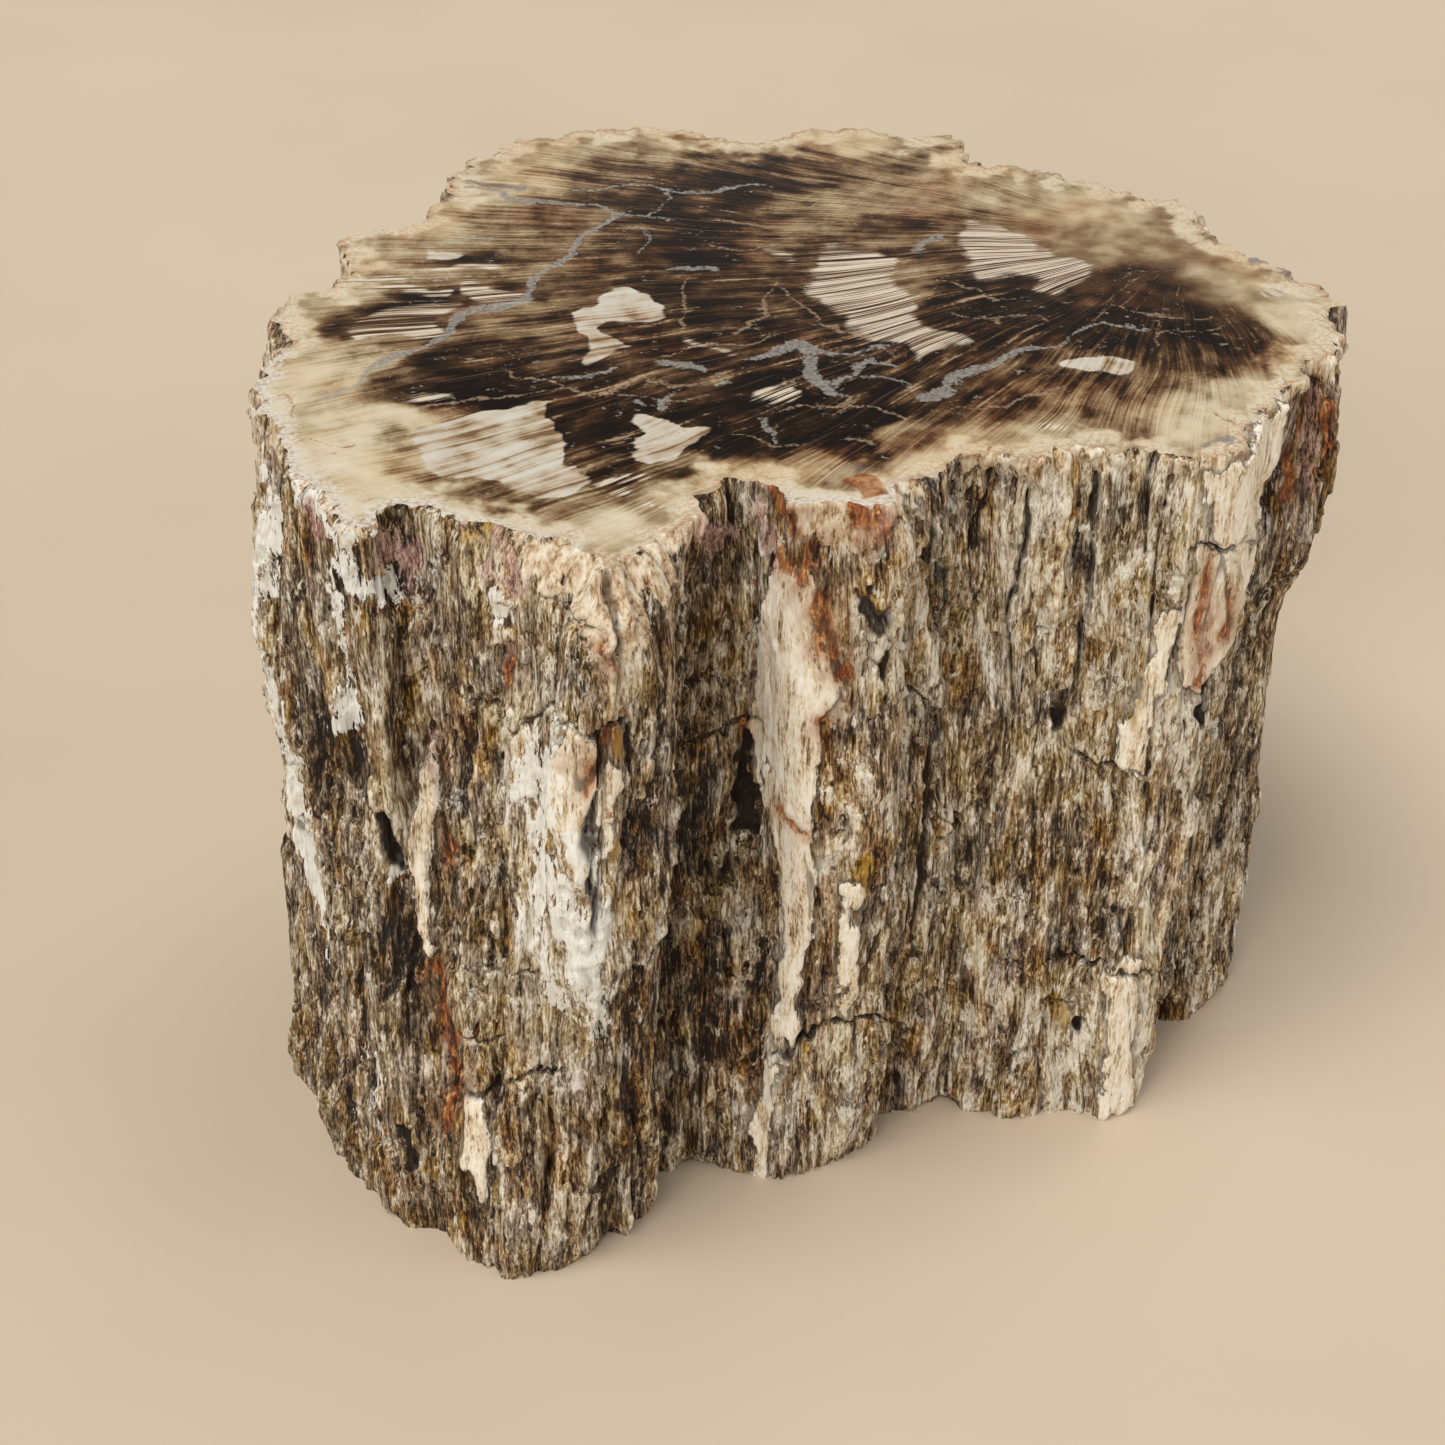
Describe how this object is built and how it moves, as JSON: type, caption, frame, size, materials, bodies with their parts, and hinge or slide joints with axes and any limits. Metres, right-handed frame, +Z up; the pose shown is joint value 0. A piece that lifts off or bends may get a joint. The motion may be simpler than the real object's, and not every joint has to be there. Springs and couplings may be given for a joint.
{
  "type": "petrified wood block",
  "caption": "Short block of fossil log: rough furrowed bark wall, flat polished end face on top, sawn flat base to stand on.",
  "frame": {"origin": "middle of the block's outline, on the sawn base", "axes": "+Z up towards the polished face, +X along the longest side, -Y towards the furrowed front"},
  "size_m": [0.14, 0.1332, 0.104],
  "materials": {
    "petrified_wood": "rough fibrous wall, polished top face"
  },
  "bodies": {
    "root": {"petrified_wood": "petrified_wood"}
  },
  "joints": []
}
